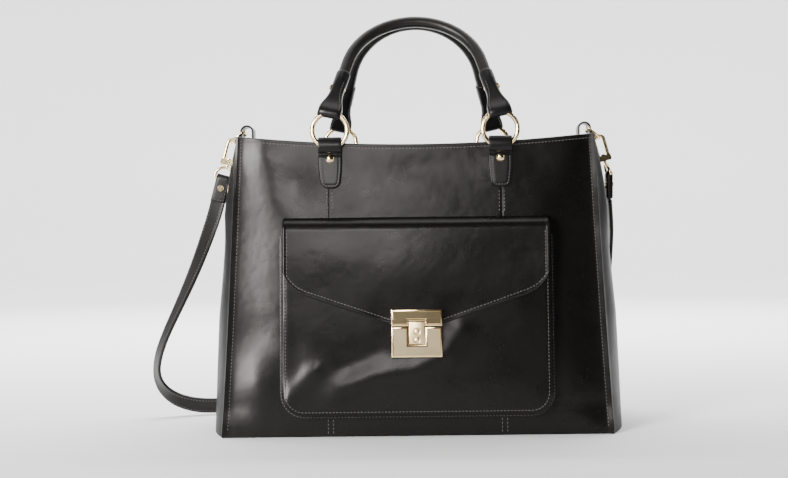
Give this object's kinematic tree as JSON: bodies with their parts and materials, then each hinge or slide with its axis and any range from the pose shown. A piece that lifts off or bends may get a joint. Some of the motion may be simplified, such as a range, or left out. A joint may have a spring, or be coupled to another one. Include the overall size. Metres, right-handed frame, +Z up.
{
  "type": "satchel bag",
  "caption": "Structured leather satchel bag with a flapped front pocket and lock, upright ring-mounted handles and a detachable shoulder strap.",
  "frame": {"origin": "middle of the flat base, on its underside", "axes": "X to the right as the front is seen, -Y towards the front, +Z up"},
  "size_m": [0.4786, 0.1894, 0.4038],
  "materials": {
    "leather": "smooth black calf leather with a fine grain, semi-gloss",
    "trim_leather": "smooth black leather, semi-gloss",
    "strap_leather": "smooth black leather, semi-gloss",
    "lining_cloth": "woven twill, matt",
    "zip_cloth": "woven tape",
    "board": "pressed fibre board",
    "core_fibre": "twisted cord",
    "gold_polished": "pale gold plate, polished",
    "gold_brushed": "pale gold plate, brushed faces and polished edges",
    "steel": "nickel-plated magnet",
    "stitching": "waxed dark grey thread",
    "edge_paint": "black painted leather edge"
  },
  "bodies": {
    "bag": {"anchor_rivets": "gold_polished", "back_panel_center": "leather", "back_panel_left": "leather", "back_panel_right": "leather", "base_board": "board", "base_panel": "leather", "clip_eyes": "gold_polished", "clip_hook_left": "gold_polished", "clip_hook_right": "gold_polished", "front_panel_center": "leather", "front_panel_left": "leather", "front_panel_right": "leather", "gusset_left": "leather", "gusset_right": "leather", "handle_tab_back_left": "trim_leather", "handle_tab_back_right": "trim_leather", "handle_tab_front_left": "trim_leather", "handle_tab_front_right": "trim_leather", "inner_pocket": "lining_cloth", "lining": "lining_cloth", "lock_magnet": "steel", "lock_plate": "gold_brushed", "mouth_facing": "leather", "pocket_front": "leather", "pocket_gusset": "leather", "snap_socket": "gold_polished", "snap_stud": "gold_polished", "strap_anchor_left": "trim_leather", "strap_anchor_right": "trim_leather", "strap_buckle": "gold_polished", "strap_ends": "strap_leather", "strap_keeper": "strap_leather", "strap_long": "strap_leather", "strap_rivets": "gold_polished", "strap_short": "strap_leather", "tab_rivets": "gold_polished", "zip_tape": "zip_cloth"},
    "front_rings": {"o_ring_front_left": "gold_polished", "o_ring_front_right": "gold_polished"},
    "back_rings": {"o_ring_back_left": "gold_polished", "o_ring_back_right": "gold_polished"},
    "front_handle": {"handle_cover_front": "trim_leather", "handle_core_front": "core_fibre", "handle_wrap_front_left": "trim_leather", "handle_wrap_front_right": "trim_leather", "wrap_rivets_front": "gold_polished"},
    "back_handle": {"handle_cover_back": "trim_leather", "handle_core_back": "core_fibre", "handle_wrap_back_left": "trim_leather", "handle_wrap_back_right": "trim_leather", "wrap_rivets_back": "gold_polished"},
    "flap": {"pocket_flap": "leather", "lock_bar": "gold_brushed", "lock_pin": "gold_polished"},
    "tongue": {"lock_tongue": "gold_brushed"},
    "d_ring_left": {"d_ring_left": "gold_polished"},
    "d_ring_right": {"d_ring_right": "gold_polished"},
    "clip_gate_left": {"clip_gate_left": "gold_polished"},
    "clip_gate_right": {"clip_gate_right": "gold_polished"},
    "zip_slider": {"zip_slider": "gold_polished"}
  },
  "joints": [
    {"name": "front_ring_hinge", "type": "hinge", "parent": "bag", "child": "front_rings", "pos_m": [0, -0.06128, 0.2694], "axis": [1, 0, 0], "range_deg": [0, 60], "deforming": ["handle_tab_front_left", "handle_tab_front_right"]},
    {"name": "front_handle_hinge", "type": "hinge", "parent": "front_rings", "child": "front_handle", "pos_m": [0, -0.06128, 0.3022], "axis": [1, 0, 0], "range_deg": [0, 70], "deforming": ["handle_wrap_front_left", "handle_wrap_front_right"]},
    {"name": "back_ring_hinge", "type": "hinge", "parent": "bag", "child": "back_rings", "pos_m": [0, 0.06128, 0.2694], "axis": [-1, 0, 0], "range_deg": [0, 90], "deforming": ["handle_tab_back_left", "handle_tab_back_right"]},
    {"name": "back_handle_hinge", "type": "hinge", "parent": "back_rings", "child": "back_handle", "pos_m": [0, 0.06128, 0.3022], "axis": [-1, 0, 0], "range_deg": [0, 115], "deforming": ["handle_wrap_back_left", "handle_wrap_back_right"]},
    {"name": "flap_fold", "type": "hinge", "parent": "bag", "child": "flap", "pos_m": [0, -0.06192, 0.20245], "axis": [-1, 0, 0], "range_deg": [0, 110]},
    {"name": "tongue_hinge", "type": "hinge", "parent": "flap", "child": "tongue", "pos_m": [0, -0.08116, 0.10569], "axis": [-1, 0, 0], "range_deg": [0, 100]},
    {"name": "d_ring_left_swing", "type": "hinge", "parent": "bag", "child": "d_ring_left", "pos_m": [-0.17, 0, 0.2915], "axis": [0, -1, 0], "range_deg": [0, 7]},
    {"name": "d_ring_right_swing", "type": "hinge", "parent": "bag", "child": "d_ring_right", "pos_m": [0.17, 0, 0.2915], "axis": [0, 1, 0], "range_deg": [0, 7]},
    {"name": "gate_left_hinge", "type": "hinge", "parent": "bag", "child": "clip_gate_left", "pos_m": [-0.18232, 0, 0.26121], "axis": [0, -1, 0], "range_deg": [0, 22], "stiffness_Nm_per_rad": 0.01},
    {"name": "gate_right_hinge", "type": "hinge", "parent": "bag", "child": "clip_gate_right", "pos_m": [0.18232, 0, 0.26121], "axis": [0, 1, 0], "range_deg": [0, 22], "stiffness_Nm_per_rad": 0.01},
    {"name": "zip_slide", "type": "slide", "parent": "bag", "child": "zip_slider", "axis": [1, 0, 0], "range_m": [0, 0.15]}
  ]
}
